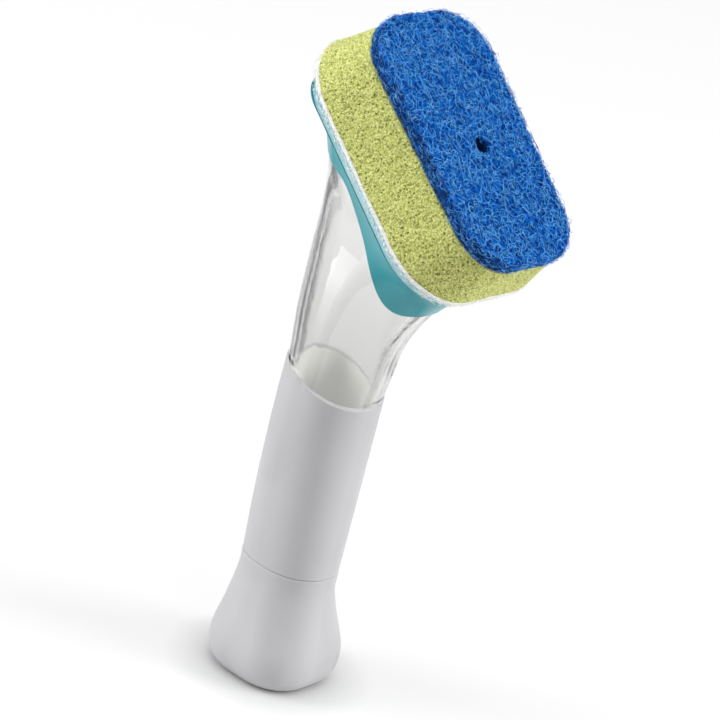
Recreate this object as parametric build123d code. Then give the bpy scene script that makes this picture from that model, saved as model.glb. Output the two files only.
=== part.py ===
from build123d import *
from math import cos, radians, sin, tan
import os

# Dish wand with a soap-filled handle, in millimetres.
# It stands upright on the flat base of its end cap. +Z is the handle's axis, and +X is the side that
# the sponge faces. XZ is the plane of symmetry, and the origin is on the base, on the handle's axis.

# Overall form
cap_height = 39.5  # base to the seam between the end cap and the grip
grip_top = 104.9  # the grip's slanted top edge, where it crosses the handle's axis
grip_slope = 17.7  # degrees by which that edge rises towards the back
head_reach = 29.3  # handle's axis to the middle of the pad's face, along X
head_height = 197.8  # base to the middle of the pad's face
head_pitch = 49.35  # degrees between the direction that the pad faces and the horizontal

# Handle sections
seam_half_x = 16.2
seam_half_y = 14.3
seam_shift = 0.3
belly_half_x = 16.4
belly_half_y = 15.9
belly_shift = 0.3
neck_half_x = 15.9
neck_half_y = 16.6

# End cap
cap_half = 20.0  # half the width of the foot, across its flats
cap_shift = 2.2  # the foot's middle lies this far forward of the handle's axis
foot_round_height = 9.0
foot_round_depth = 6.0
cap_edge_round = 0.45  # round of the cap's edge at the seam
grip_edge_round = 0.35  # round of the grip's two outer edges

# Threaded closure
thread_pitch = 4.0
thread_turns = 1.25
neck_radius = 9.4
neck_bore = 7.6
neck_length = 15.0
thread_height = 1.3
thread_base = 1.6
thread_crest = 0.8
core_bore = 11.0
core_wall = 1.8
core_depth = 21.9
core_floor = 2.0
core_recess = 1.6  # the core's rim lies this far below the seam, and the seal fills the step
seal_outer = 12.2

# Walls and fits
grip_wall = 2.4
clear_wall = 3.6
clear_inset = 0.4  # the clear body lies this far inside the grip's and the cowl's surfaces
cowl_wall = 1.8
floor_thickness = 2.2
fit = 0.05
slide_gap = 0.25
face_gap = 0.08  # between the refill's plate and the cowl's front
overrun = 5.0

# Sponge refill
foam_length = 89.0
foam_width = 66.3
foam_round = 21.6
foam_shift = 1.2  # the foam's middle lies this far towards the tip of the head
foam_thickness = 16.9
pad_length = 84.0
pad_width = 50.2
pad_taper = 1.25  # the pad is wider by this much at each side of its tip, and narrower at its heel
pad_round = 16.3
pad_thickness = 4.85
backing_thickness = 1.0
plate_thickness = 2.5
plate_tip = 37.0  # middle of the pad to the plate's end at the tip of the head
plate_heel = 41.3
plate_inset = 0.1
plate_tip_round = 12.0
plate_heel_round = 19.5
cowl_heel = 40.6
cowl_tip_round = 10.2
cowl_overhang = 0.3  # the cowl's front is wider than the plate by this much at each side

# Rail on the head, and the keyhole channel in the plate: a window that the rail's head drops into,
# and a narrower slot that it slides along
rail_tip = 17.5
rail_heel = 10.5
rail_width = 22.0
rail_stem = 14.0
rail_head = 1.9
channel_lip = 1.5
channel_wall = 1.2

# Soap outlet
outlet_shift = -2.9  # the outlet's axis lies this far towards the tip from the pad's middle
outlet_bore = 5.8  # hole through the pad
foam_bore = 6.2
port_bore = 8.0
valve_dome = 9.0
valve_skin = 1.0
valve_slit = 0.3
valve_flange = 15.6
valve_flange_thickness = 1.5
socket_bore = 16.2
socket_wall = 1.5
socket_depth = 8.0
retainer_thickness = 2.0
retainer_bore = 10.0
front_wall = 2.5
roof_gap = 1.8
roof_thickness = 2.4
collar_wall = 2.4
collar_height = 3.6
seal_section = 1.1

# Directions of the head: the pad faces along "facing", and "tipward" runs along the pad to its tip
facing = Vector(cos(radians(head_pitch)), 0, sin(radians(head_pitch)))
tipward = Vector(-facing.Z, 0, facing.X)
pad_middle = Vector(head_reach, 0, head_height)
head = Plane(origin=pad_middle, x_dir=tipward, z_dir=facing)

# Depths behind the pad's face
pad_back = pad_thickness
foam_back = pad_back + foam_thickness
backing_back = foam_back + backing_thickness
plate_back = backing_back + plate_thickness
cowl_front = plate_back + face_gap
cowl_inside = cowl_front + front_wall
roof_top = cowl_inside + roof_gap
roof_under = roof_top + roof_thickness

plate_half = foam_width / 2 - plate_inset
flare_rise = head_height - grip_top


def outline(half_length, half_width, back_round, front_round):
    """A rounded rectangle with elliptical corners, its rounds as (along X, along Y)."""
    back_x, back_y = back_round
    front_x, front_y = front_round

    def corner(x, y, radii, start):
        return EllipticalCenterArc((x, y), radii[0], radii[1], start, arc_size=90)

    front_arc_x = half_length - front_x
    back_arc_x = -half_length + back_x
    front_arc_y = half_width - front_y
    back_arc_y = half_width - back_y
    return make_face(
        [
            corner(front_arc_x, front_arc_y, front_round, 0),
            Line((front_arc_x, half_width), (back_arc_x, half_width)),
            corner(back_arc_x, back_arc_y, back_round, 90),
            Line((-half_length, back_arc_y), (-half_length, -back_arc_y)),
            corner(back_arc_x, -back_arc_y, back_round, 180),
            Line((back_arc_x, -half_width), (front_arc_x, -half_width)),
            corner(front_arc_x, -front_arc_y, front_round, 270),
            Line((half_length, -front_arc_y), (half_length, front_arc_y)),
        ]
    )


def head_point(along, depth):
    """A point of the symmetry plane, towards the tip and behind the pad's face."""
    return pad_middle + tipward * along - facing * depth


def cross_section(back, front, half_width, back_share, front_share, inset):
    """One section of the wand, from its back point to its front point, shrunk all round."""
    span = front - back
    half_length = span.length / 2

    def rounds(share):
        return (share[0] * half_length - inset, share[1] * half_width - inset)

    across = span.normalized()
    plane = Plane(origin=(back + front) / 2, x_dir=across, z_dir=across.cross(Vector(0, 1, 0)))
    face = outline(half_length - inset, half_width - inset, rounds(back_share), rounds(front_share))
    return plane * face


oval_share = (0.93, 0.93)
slope = tan(radians(grip_slope))
belly_height_share = 0.52
belly_height = cap_height + belly_height_share * (grip_top - cap_height)
belly_slope_share = 0.4

seam_section = (
    Vector(seam_shift - seam_half_x, 0, cap_height),
    Vector(seam_shift + seam_half_x, 0, cap_height),
    seam_half_y,
    oval_share,
    oval_share,
)
belly_section = (
    Vector(-belly_shift - belly_half_x, 0, belly_height + belly_slope_share * slope * belly_half_x),
    Vector(-belly_shift + belly_half_x, 0, belly_height - belly_slope_share * slope * belly_half_x),
    belly_half_y,
    oval_share,
    oval_share,
)
neck_section = (
    Vector(-neck_half_x, 0, grip_top + neck_half_x * slope),
    Vector(neck_half_x, 0, grip_top - neck_half_x * slope),
    neck_half_y,
    oval_share,
    oval_share,
)

# The flare between neck and head. Back points are shares of the neck's half depth, front points of
# the head's reach, heights of the rise from neck to head, and widths of the plate's half width.
flare_shares = [
    ((-1.025, 0.130), (0.590, 0.042), 0.517, (0.92, 0.93), (0.92, 0.93)),
    ((-1.063, 0.238), (0.635, 0.146), 0.531, (0.90, 0.93), (0.90, 0.93)),
    ((-1.088, 0.442), (0.805, 0.276), 0.546, (0.90, 0.93), (0.90, 0.93)),
    ((-1.088, 0.625), (1.017, 0.376), 0.549, (0.85, 0.90), (0.85, 0.93)),
    ((-1.140, 0.819), (1.268, 0.449), 0.630, (0.75, 0.85), (0.70, 0.93)),
]
shoulder_depth = 3.8  # the flare's last section but one lies this far behind the cowl's front
shoulder_length_share = 0.985
shoulder_width_share = 0.85
shoulder_tip_share = (0.40, 0.55)
shoulder_heel_share = (0.52, 0.70)


def flare_sections():
    rows = [belly_section, neck_section]
    for back, front, width_share, back_share, front_share in flare_shares:
        rows.append(
            (
                Vector(back[0] * neck_half_x, 0, grip_top + back[1] * flare_rise),
                Vector(front[0] * head_reach, 0, grip_top + front[1] * flare_rise),
                width_share * plate_half,
                back_share,
                front_share,
            )
        )
    rows.append(
        (
            head_point(plate_tip * shoulder_length_share, cowl_front + shoulder_depth),
            head_point(-cowl_heel * shoulder_length_share, cowl_front + shoulder_depth),
            shoulder_width_share * plate_half,
            shoulder_tip_share,
            shoulder_heel_share,
        )
    )
    cowl_half_length = (plate_tip + cowl_heel) / 2
    cowl_half = plate_half + cowl_overhang
    rows.append(
        (
            head_point(plate_tip, cowl_front),
            head_point(-cowl_heel, cowl_front),
            cowl_half,
            (cowl_tip_round / cowl_half_length, cowl_tip_round / cowl_half),
            (plate_heel_round / cowl_half_length, plate_heel_round / cowl_half),
        )
    )
    return rows


def filled_in(rows, steps):
    """The given sections, with more in between them along smooth curves."""
    flat = [
        (*back, *front, half_width, *back_share, *front_share)
        for back, front, half_width, back_share, front_share in rows
    ]
    places = [0]
    for low, high in zip(rows, rows[1:]):
        places.append(places[-1] + (high[0] - low[0]).length + (high[1] - low[1]).length)
    last = len(rows) - 1

    def rate(index, column):
        return (flat[index + 1][column] - flat[index][column]) / (places[index + 1] - places[index])

    def tangent(index, column):
        if index in (0, last):
            return rate(min(index, last - 1), column)
        before = places[index] - places[index - 1]
        after = places[index + 1] - places[index]
        return (after * rate(index - 1, column) + before * rate(index, column)) / (before + after)

    def value(index, share, column):
        span = places[index + 1] - places[index]
        rest = 1 - share
        start = flat[index][column] * (1 + 2 * share) + tangent(index, column) * span * share
        end = flat[index + 1][column] * (1 + 2 * rest) - tangent(index + 1, column) * span * rest
        return start * rest**2 + end * share**2

    filled = []
    for index in range(last):
        for step in range(steps):
            row = [value(index, step / steps, column) for column in range(len(flat[0]))]
            filled.append((Vector(*row[:3]), Vector(*row[3:6]), row[6], row[7:9], row[9:]))
    return filled + rows[-1:]


def grip_form(inset):
    """The handle from the cap's seam to the grip's slanted top edge."""
    return loft([cross_section(*row, inset) for row in (seam_section, belly_section, neck_section)])


def flare_form(inset):
    """The neck and the head's back, from the middle of the grip to the cowl's front."""
    return loft([cross_section(*row, inset) for row in filled_in(flare_sections(), 3)])


def slab(low, high, reach):
    """Everything between two heights, wider than the wand."""
    middle = (low + high) / 2
    return Pos(0, 0, middle) * Box(2 * reach, 2 * reach, high - low)


# The seam's plane, and cutting solids: above the grip's slanted edge, and above the cowl's rim
reach = head_height
seam_plane = Plane(origin=(0, 0, cap_height))
neck_plane = Plane(
    origin=(0, 0, grip_top),
    x_dir=(cos(radians(grip_slope)), 0, -sin(radians(grip_slope))),
    z_dir=(sin(radians(grip_slope)), 0, cos(radians(grip_slope))),
)
above_neck = neck_plane * Pos(0, 0, reach / 2) * Box(2 * reach, 2 * reach, reach)

# The cowl's rim seen from the side, as shares of the head's reach and of the rise to the head
rim_shares = [
    (-0.72, 0.940),
    (-0.229, 0.785),
    (0.068, 0.746),
    (0.239, 0.676),
    (0.543, 0.485),
    (0.785, 0.367),
    (1.160, 0.400),
]
rim_points = [(x * head_reach, grip_top + z * flare_rise) for x, z in rim_shares]
rim_curve = Spline(rim_points)
rim_back_x, rim_back_z = rim_points[0]
rim_front_x, rim_front_z = rim_points[-1]
rim_closing = Polyline(
    (rim_front_x, rim_front_z),
    (reach, rim_front_z),
    (reach, grip_top + reach),
    (-reach, grip_top + reach),
    (-reach, rim_back_z),
    (rim_back_x, rim_back_z),
)
above_rim = extrude(Plane.XZ * make_face([rim_curve, rim_closing]), reach, both=True)


def behind(depth):
    """Everything behind a plane that is parallel to the pad's face."""
    return head * Pos(0, 0, -depth - reach / 2) * Box(2 * reach, 2 * reach, reach)


def head_cylinder(radius, top_depth, under_depth):
    """A cylinder on the outlet's axis, between two depths behind the pad's face."""
    middle = (top_depth + under_depth) / 2
    return head * Pos(outlet_shift, 0, -middle) * Cylinder(radius, under_depth - top_depth)


def rounded(form, plane, radius):
    """A form with the edges that lie in a plane rounded."""
    edges = [edge for edge in form.edges() if abs(plane.to_local_coords(edge).center().Z) < fit]
    return fillet(edges, radius)


def head_block(heel, tip, width, top_depth, under_depth):
    """A block on the head, between two places along it and two depths."""
    middle = Pos((tip - heel) / 2, 0, -(top_depth + under_depth) / 2)
    return head * middle * Box(tip + heel, width, under_depth - top_depth)


def thread(root, crest, start_height, sink):
    """A right-hand thread ridge, from its root radius to its crest radius."""
    outward = 1 if crest > root else -1
    base = root - outward * sink
    profile = Plane.XZ * make_face(
        Polyline(
            (base, -thread_base / 2),
            (root, -thread_base / 2),
            (crest, -thread_crest / 2),
            (crest, thread_crest / 2),
            (root, thread_base / 2),
            (base, thread_base / 2),
            close=True,
        )
    )
    path = Helix(thread_pitch, thread_pitch * thread_turns, root)
    ridge = sweep(profile, path=path, is_frenet=True)
    return Pos(0, 0, start_height) * ridge


# Heights and radii of the closure
neck_end = cap_height - neck_length
core_top = cap_height - core_recess
core_bottom = core_top - core_depth
core_outer = core_bore + core_wall
thread_sink = 0.3
thread_start = neck_end + thread_base
mouth_height = cap_height + floor_thickness


def make_end_cap():
    """The soft bulb: a rounded-square foot that draws in to the oval seam."""
    foot_steps = 4
    round_share = 0.80
    sections = []
    for step in range(foot_steps + 1):
        angle = radians(90 * step / foot_steps)
        height = foot_round_height * (1 - cos(angle))
        half = cap_half - foot_round_depth * (1 - sin(angle))
        sections.append((height, half, half, round_share, cap_shift))
    # Height as a share of the cap's, half length and width as shares of the foot's, and the shift
    waist_shares = [
        (0.310, 0.992, 0.990, 0.800, 0.985),
        (0.385, 0.967, 0.963, 0.815, 0.930),
        (0.460, 0.937, 0.923, 0.840, 0.835),
        (0.535, 0.907, 0.878, 0.865, 0.700),
        (0.610, 0.880, 0.833, 0.885, 0.550),
        (0.685, 0.856, 0.794, 0.905, 0.420),
        (0.760, 0.834, 0.758, 0.920, 0.300),
        (0.835, 0.817, 0.728, 0.930, 0.205),
        (0.915, 0.811, 0.717, 0.930, 0.155),
    ]
    for height, long, wide, rounding, shift in waist_shares:
        sections.append(
            (height * cap_height, long * cap_half, wide * cap_half, rounding, shift * cap_shift)
        )
    faces = []
    for height, long, wide, rounding, shift in sections:
        rounds = (rounding * long, rounding * wide)
        faces.append(Pos(shift, 0, height) * outline(long, wide, rounds, rounds))
    faces.append(cross_section(*seam_section, 0))
    bulb = rounded(loft(faces), seam_plane, cap_edge_round)
    pocket_depth = cap_height - core_bottom + overrun
    pocket = Pos(0, 0, core_bottom + pocket_depth / 2) * Cylinder(core_outer + fit, pocket_depth)
    return bulb - pocket


def make_cap_core():
    """The hard threaded cup inside the bulb."""
    cup = Pos(0, 0, core_bottom + core_depth / 2) * Cylinder(core_outer, core_depth)
    hollow_depth = core_depth - core_floor + overrun
    hollow = Pos(0, 0, core_bottom + core_floor + hollow_depth / 2) * Cylinder(core_bore, hollow_depth)
    crest = neck_radius + fit + slide_gap
    ridge = thread(core_bore, crest, thread_start + thread_pitch / 2, thread_sink)
    return cup - hollow + ridge


def make_cap_seal():
    """The flat ring between the core's rim and the reservoir's shoulder."""
    ring = Cylinder(seal_outer, core_recess) - Cylinder(neck_radius + fit, core_recess)
    return Pos(0, 0, core_top + core_recess / 2) * ring


def make_grip_sleeve():
    """The soft sleeve round the reservoir's tube."""
    outside = rounded(grip_form(0), seam_plane, grip_edge_round)
    outside = rounded(outside, neck_plane, grip_edge_round)
    return outside - grip_form(grip_wall)


def make_reservoir():
    """The clear handle body: threaded neck, tube inside the grip, flare and roof."""
    tube = grip_form(grip_wall + fit)
    flare = (flare_form(clear_inset) & above_neck) - above_rim
    spigot = flare_form(cowl_wall + fit) & above_neck & behind(roof_top)
    neck = Pos(0, 0, cap_height - neck_length / 2 + fit) * Cylinder(neck_radius, neck_length + 2 * fit)
    hollow_inset = clear_inset + clear_wall
    low_hollow = grip_form(hollow_inset) - slab(0, mouth_height, reach)
    high_hollow = (flare_form(hollow_inset) & above_neck) & behind(roof_under)
    bore_height = neck_length + floor_thickness + overrun
    bore = Pos(0, 0, neck_end - overrun / 2 + bore_height / 2) * Cylinder(neck_bore, bore_height)
    crest = neck_radius + thread_height
    ridge = thread(neck_radius, crest, thread_start, thread_sink)
    collar_under = roof_under + collar_height
    socket_outer = socket_bore / 2 + socket_wall
    collar = head_cylinder(socket_outer + fit + collar_wall, roof_top, collar_under)
    socket_way = head_cylinder(socket_outer + fit, roof_top - overrun, collar_under + overrun)
    body = tube + flare + spigot + neck + ridge
    return body - low_hollow - high_hollow - bore + collar - socket_way


def make_head_housing():
    """The teal cowl with its front wall, valve socket and T-shaped rail."""
    cowl = (flare_form(0) & above_rim & above_neck) - (
        flare_form(cowl_wall) & behind(cowl_inside)
    )
    socket_outer = socket_bore / 2 + socket_wall
    socket = head_cylinder(socket_outer, cowl_inside, cowl_inside + socket_depth)
    socket_hole = head_cylinder(socket_bore / 2, cowl_inside, cowl_inside + socket_depth + overrun)
    head_under = plate_back - channel_lip - slide_gap
    rail_top = head_under - rail_head
    stem = head_block(rail_heel, rail_tip, rail_stem, rail_top, cowl_front)
    rail = head_block(rail_heel, rail_tip, rail_width, rail_top, head_under)
    outlet = head_cylinder(valve_dome / 2 + fit, rail_top - overrun, cowl_inside + overrun)
    groove_top = roof_under + collar_height / 3
    groove = head_cylinder(socket_outer + fit, groove_top, groove_top + seal_section)
    groove -= head_cylinder(socket_outer - seal_section / 2, groove_top, groove_top + seal_section)
    return cowl + socket + stem + rail - socket_hole - outlet - groove


def make_outlet_seal():
    """The ring in the socket's groove, inside the reservoir's collar."""
    socket_outer = socket_bore / 2 + socket_wall
    groove_top = roof_under + collar_height / 3
    ring = head_cylinder(socket_outer, groove_top, groove_top + seal_section)
    return ring - head_cylinder(socket_outer - seal_section / 2, groove_top, groove_top + seal_section)


def make_outlet_valve():
    """The silicone valve: a flange and a slit dome in the rail's bore."""
    head_under = plate_back - channel_lip - slide_gap
    rail_top = head_under - rail_head
    dome_top = rail_top + slide_gap
    flange_under = cowl_inside + valve_flange_thickness
    flange = head_cylinder(valve_flange / 2, cowl_inside, flange_under)
    dome = head_cylinder(valve_dome / 2, dome_top, cowl_inside)
    hollow = head_cylinder(valve_dome / 2 - valve_skin, dome_top + valve_skin, flange_under + overrun)
    slit_length = valve_dome - 4 * valve_skin
    slit_place = Pos(outlet_shift, 0, -(dome_top + valve_skin / 2))
    slit = head * slit_place * Box(slit_length, valve_slit, 2 * valve_skin)
    return flange + dome - hollow - slit


def make_valve_retainer():
    """The ring behind the valve's flange."""
    top = cowl_inside + valve_flange_thickness
    ring = head_cylinder(socket_bore / 2 - fit, top, top + retainer_thickness)
    return ring - head_cylinder(retainer_bore / 2, top - overrun, top + retainer_thickness + overrun)


channel_tip = rail_tip + slide_gap
channel_split = rail_heel + slide_gap  # where the slot ends and the window begins
channel_heel = channel_split + rail_tip + rail_heel + slide_gap
channel_width = rail_width + 2 * slide_gap
channel_under = plate_back - channel_lip
channel_top = channel_under - 2 * slide_gap - rail_head


def channel_box(gap):
    """The box round the channel, which rises from the plate into the foam, grown all round."""
    wall = channel_wall + gap
    width = channel_width + 2 * wall
    return head_block(channel_heel + wall, channel_tip + wall, width, channel_top - wall, channel_under)


def make_refill_plate():
    """The refill's plate, with the keyhole channel that slides over the rail."""
    corners = Polyline(
        (plate_tip, plate_half), (-plate_heel, plate_half), (-plate_heel, -plate_half),
        (plate_tip, -plate_half), close=True,
    )
    face = make_face(corners)
    tip_corners = face.vertices().sort_by(Axis.X)[-2:]
    face = fillet(tip_corners, plate_tip_round)
    heel_corners = face.vertices().group_by(Axis.X)[0]
    face = fillet(heel_corners, plate_heel_round)
    plate = head * Pos(0, 0, -plate_back) * extrude(face, plate_thickness)
    under = plate_back + overrun
    chamber = head_block(channel_heel, channel_tip, channel_width, channel_top, channel_under)
    window = head_block(channel_heel, -channel_split, channel_width, channel_top, under)
    slot = head_block(channel_heel, channel_tip, rail_stem + 2 * slide_gap, channel_top, under)
    port = head_cylinder(port_bore / 2, channel_top - overrun, channel_under)
    return plate + channel_box(0) - chamber - window - slot - port


def foam_outline():
    return Pos(foam_shift, 0, 0) * RectangleRounded(foam_length, foam_width, foam_round)


def pad_outline():
    """The scouring pad, a little wider at the tip of the head."""
    half_length = pad_length / 2
    tip_half = pad_width / 2 + pad_taper
    heel_half = pad_width / 2 - pad_taper
    corners = Polyline(
        (half_length, tip_half), (-half_length, heel_half), (-half_length, -heel_half),
        (half_length, -tip_half), close=True,
    )
    face = make_face(corners)
    return fillet(face.vertices(), pad_round)


def make_backing_layer():
    """The white fibre layer between plate and foam."""
    layer = head * Pos(0, 0, -backing_back) * extrude(foam_outline(), backing_thickness)
    return layer - channel_box(fit)


def make_foam_sponge():
    """The foam block, which narrows from its back to the pad."""
    back = head * Pos(0, 0, -foam_back) * foam_outline()
    front = head * Pos(0, 0, -pad_back) * pad_outline()
    block = loft([back, front])
    hole = head_cylinder(foam_bore / 2, 0, foam_back + overrun)
    return block - channel_box(fit) - hole


def make_scouring_pad():
    """The scouring pad, with the soap hole in its middle."""
    pad = head * Pos(0, 0, -pad_back) * extrude(pad_outline(), pad_thickness)
    return pad - head_cylinder(outlet_bore / 2, -overrun, pad_back + overrun)


makers = {
    "end_cap": make_end_cap,
    "cap_core": make_cap_core,
    "cap_seal": make_cap_seal,
    "grip_sleeve": make_grip_sleeve,
    "reservoir": make_reservoir,
    "head_housing": make_head_housing,
    "outlet_seal": make_outlet_seal,
    "outlet_valve": make_outlet_valve,
    "valve_retainer": make_valve_retainer,
    "refill_plate": make_refill_plate,
    "backing_layer": make_backing_layer,
    "foam_sponge": make_foam_sponge,
    "scouring_pad": make_scouring_pad,
}

os.makedirs("parts", exist_ok=True)
for name, make in makers.items():
    piece = make()
    export_step(piece, f"parts/{name}.step")
    print(name, round(piece.volume), len(piece.solids()), piece.is_valid)
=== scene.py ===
import math

import bpy
import numpy as np
from mathutils import Matrix, Vector
from mathutils.bvhtree import BVHTree


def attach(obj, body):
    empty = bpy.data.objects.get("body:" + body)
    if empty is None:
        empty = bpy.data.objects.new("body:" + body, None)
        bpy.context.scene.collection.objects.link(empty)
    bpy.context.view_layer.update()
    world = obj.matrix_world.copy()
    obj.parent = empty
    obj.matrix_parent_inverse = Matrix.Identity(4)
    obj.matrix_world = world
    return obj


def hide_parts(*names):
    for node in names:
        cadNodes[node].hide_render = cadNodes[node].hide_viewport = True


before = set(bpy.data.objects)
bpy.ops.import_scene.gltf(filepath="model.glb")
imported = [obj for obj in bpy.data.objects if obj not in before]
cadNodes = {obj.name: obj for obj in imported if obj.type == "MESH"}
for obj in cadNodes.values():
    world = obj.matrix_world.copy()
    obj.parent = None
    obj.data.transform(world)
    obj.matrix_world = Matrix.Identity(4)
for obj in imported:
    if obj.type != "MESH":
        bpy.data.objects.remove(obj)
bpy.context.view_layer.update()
mm = 0.001
print("frame loaded:", len(cadNodes), "CAD nodes")


# sRGB hex to Blender's linear colour
def toLinear(code):
    channels = [int(code[start:start + 2], 16) / 255 for start in (1, 3, 5)]
    linear = [c / 12.92 if c <= 0.04045 else ((c + 0.055) / 1.055) ** 2.4 for c in channels]
    return linear + [1.0]


# Adds one node: settings are node properties or unlinked sockets, links are sockets to plug in
def addNode(tree, kind, settings, links=None):
    node = tree.nodes.new(kind)
    for name, value in settings.items():
        if isinstance(name, str) and name in node.bl_rna.properties:
            setattr(node, name, value)
        else:
            node.inputs[name].default_value = value
    for name, socket in (links or {}).items():
        tree.links.new(socket, node.inputs[name])
    return node


def bareMaterial(name):
    material = bpy.data.materials.new(name)
    material.use_nodes = True
    material.node_tree.nodes.clear()
    return material, material.node_tree


# A material with one Principled shader, and object coordinates for its patterns
def newMaterial(name, settings):
    material, tree = bareMaterial(name)
    shader = addNode(tree, "ShaderNodeBsdfPrincipled", settings)
    addNode(tree, "ShaderNodeOutputMaterial", {}, {"Surface": shader.outputs["BSDF"]})
    place = addNode(tree, "ShaderNodeTexCoord", {}).outputs["Object"]
    return material, tree, shader, place


# Noise, by the size in mm of what it draws
def addNoise(tree, place, size, detail):
    return addNode(
        tree, "ShaderNodeTexNoise", {"Scale": 1 / (size * mm), "Detail": detail}, {"Vector": place}
    )


# The shares of a soft noise between which one colour turns into the other
cloudSpan = (0.35, 0.65)


# Noise that drives a colour between two hex values
def colourNoise(tree, place, size, detail, span, lowColour, highColour):
    grain = addNoise(tree, place, size, detail)
    ramp = addNode(tree, "ShaderNodeValToRGB", {}, {"Fac": grain.outputs["Fac"]})
    for element, position, colour in zip(ramp.color_ramp.elements, span, (lowColour, highColour)):
        element.position = position
        element.color = toLinear(colour)
    return ramp.outputs["Color"], grain.outputs["Fac"]


# Bump by its strength and its depth in mm
def addBump(tree, shader, height, strength, depth):
    bump = addNode(
        tree, "ShaderNodeBump", {"Strength": strength, "Distance": depth * mm}, {"Height": height}
    )
    tree.links.new(bump.outputs["Normal"], shader.inputs["Normal"])


# Thermoplastic elastomer, moulded over the cap and handle: its fine matt grain spreads highlights wide
softTouch = {
    "outside": ("#cac9cc", "#c6c5c8"),
    "paintedLightInside": ("#f2f2f0", "#ececea"),  # the side against the clear body: its paler tone and its glow are painted light, for the light that the clear body pipes down behind it
    "paintedInsideGlow": 0.45,
    "cloud": 30,
    "grain": 0.35,
    "bump": (0.12, 0.05),
    "roughness": 0.5,
    "ior": 1.5,
    "specular": 0.4,
    "seamHeight": 39.5,
    "seamGap": 0.3,
}


def elastomerMaterial(name, colours, glow):
    light, dark = colours
    material, tree, shader, place = newMaterial(
        name,
        {
            "Roughness": softTouch["roughness"],
            "IOR": softTouch["ior"],
            "Specular IOR Level": softTouch["specular"],
            "Emission Color": toLinear(light),
            "Emission Strength": glow,
        },
    )
    colour, _ = colourNoise(tree, place, softTouch["cloud"], 1, cloudSpan, dark, light)
    tree.links.new(colour, shader.inputs["Base Color"])
    grain = addNoise(tree, place, softTouch["grain"], 3)
    addBump(tree, shader, grain.outputs["Fac"], *softTouch["bump"])
    return material


# Clear styrene acrylonitrile, moulded thick: it bends what is behind it. It is polished outside, and a
# little dull inside, where the core pin drew out, so what shows through it is soft.
# The tint deepens downwards, only to reach the tone that the photograph has near the grip
clearBody = {
    "tint": "#f5f5f4",
    "lowTint": "#e5e5e4",
    "tintHeights": (112, 160),
    "ior": 1.56,
    "bondedIor": 1.0,
    "outside": 0.03,
    "inside": 0.14,
    "wave": 16,
    "bump": (0.15, 0.3),
    "rimHeight": 104.9,
    "rimSlope": 17.7,
    "rimGap": 0.03,
}


def clearMaterial(name, roughness, ior):
    material, tree, shader, place = newMaterial(
        name,
        {"Roughness": roughness, "IOR": ior, "Transmission Weight": 1.0},
    )
    wave = addNoise(tree, place, clearBody["wave"], 0)
    addBump(tree, shader, wave.outputs["Fac"], *clearBody["bump"])
    height = addNode(tree, "ShaderNodeSeparateXYZ", {}, {0: place}).outputs["Z"]
    low, high = clearBody["tintHeights"]
    rise = addNode(
        tree, "ShaderNodeMapRange", {"From Min": low * mm, "From Max": high * mm}, {"Value": height}
    )
    tint = addNode(
        tree,
        "ShaderNodeMix",
        {"data_type": "RGBA", 6: toLinear(clearBody["lowTint"]), 7: toLinear(clearBody["tint"])},
        {0: rise.outputs[0]},
    )
    tree.links.new(tint.outputs[2], shader.inputs["Base Color"])
    # Lamps shine through it, so that it casts only a faint shadow
    letThrough = addNode(tree, "ShaderNodeBsdfTransparent", {"Color": toLinear(clearBody["tint"])})
    lampRay = addNode(tree, "ShaderNodeLightPath", {}).outputs["Is Shadow Ray"]
    choice = addNode(
        tree,
        "ShaderNodeMixShader",
        {},
        {"Fac": lampRay, 1: shader.outputs["BSDF"], 2: letThrough.outputs["BSDF"]},
    )
    tree.links.new(choice.outputs[0], tree.nodes["Material Output"].inputs["Surface"])
    return material


# The plane of the grip's slanted rim
slope = math.radians(clearBody["rimSlope"])
rimPlace = Vector((0, 0, clearBody["rimHeight"] * mm))
rimNormal = Vector((math.sin(slope), 0, math.cos(slope)))
rimForward = Vector((math.cos(slope), 0, -math.sin(slope)))

onPlane = 0.03  # mm from a plane within which a point counts as lying in it

# Rays that a face sends out, how many may meet the piece before it counts as inside, and their start off it
insideTest = {"rays": 12, "most": 10, "start": 0.5}


# A CAD piece again, with one material outside and one inside: a duller finish inside the clear body, painted
# light inside the grip's sleeve.
# A face is inside where nearly all rays from it that run level with the rim meet the piece again
def splitOutsideInside(node, name, outside, inside):
    mesh = cadNodes[node].data.copy()
    corners = [vertex.co for vertex in mesh.vertices]
    tree = BVHTree.FromPolygons(corners, [tuple(face.vertices) for face in mesh.polygons])
    turns = np.arange(insideTest["rays"]) * math.pi / (insideTest["rays"] / 2)
    rays = [rimForward * math.cos(turn) + Vector((0, math.sin(turn), 0)) for turn in turns]
    mesh.materials.clear()
    mesh.materials.append(outside)
    mesh.materials.append(inside)
    for face in mesh.polygons:
        start = face.center + face.normal * insideTest["start"] * mm
        meets = sum(tree.ray_cast(start, ray)[0] is not None for ray in rays)
        face.material_index = int(meets > insideTest["most"])
    piece = bpy.data.objects.new(name, mesh)
    bpy.context.scene.collection.objects.link(piece)
    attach(piece, "handle")
    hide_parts(node)
    insideCount = sum(face.material_index for face in mesh.polygons)
    print(name + ":", len(mesh.polygons), "faces,", insideCount, "inside")
    return mesh


# Lifts the edge that lies in a plane, so that the piece stands off what is under it
def liftEdge(mesh, place, normal, gap):
    for vertex in mesh.vertices:
        if abs((vertex.co - place).dot(normal)) < onPlane * mm:
            vertex.co += normal * gap * mm


# The grip's lower edge is lifted, so that the seam to the cap is a dark line. Its inside takes the paler,
# glowing material, which is painted light
def makeSleeve(outside, paintedLightInside):
    mesh = splitOutsideInside("grip_sleeve", "gripSleeve", outside, paintedLightInside)
    liftEdge(mesh, Vector((0, 0, softTouch["seamHeight"] * mm)), Vector((0, 0, 1)), softTouch["seamGap"])


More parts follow.
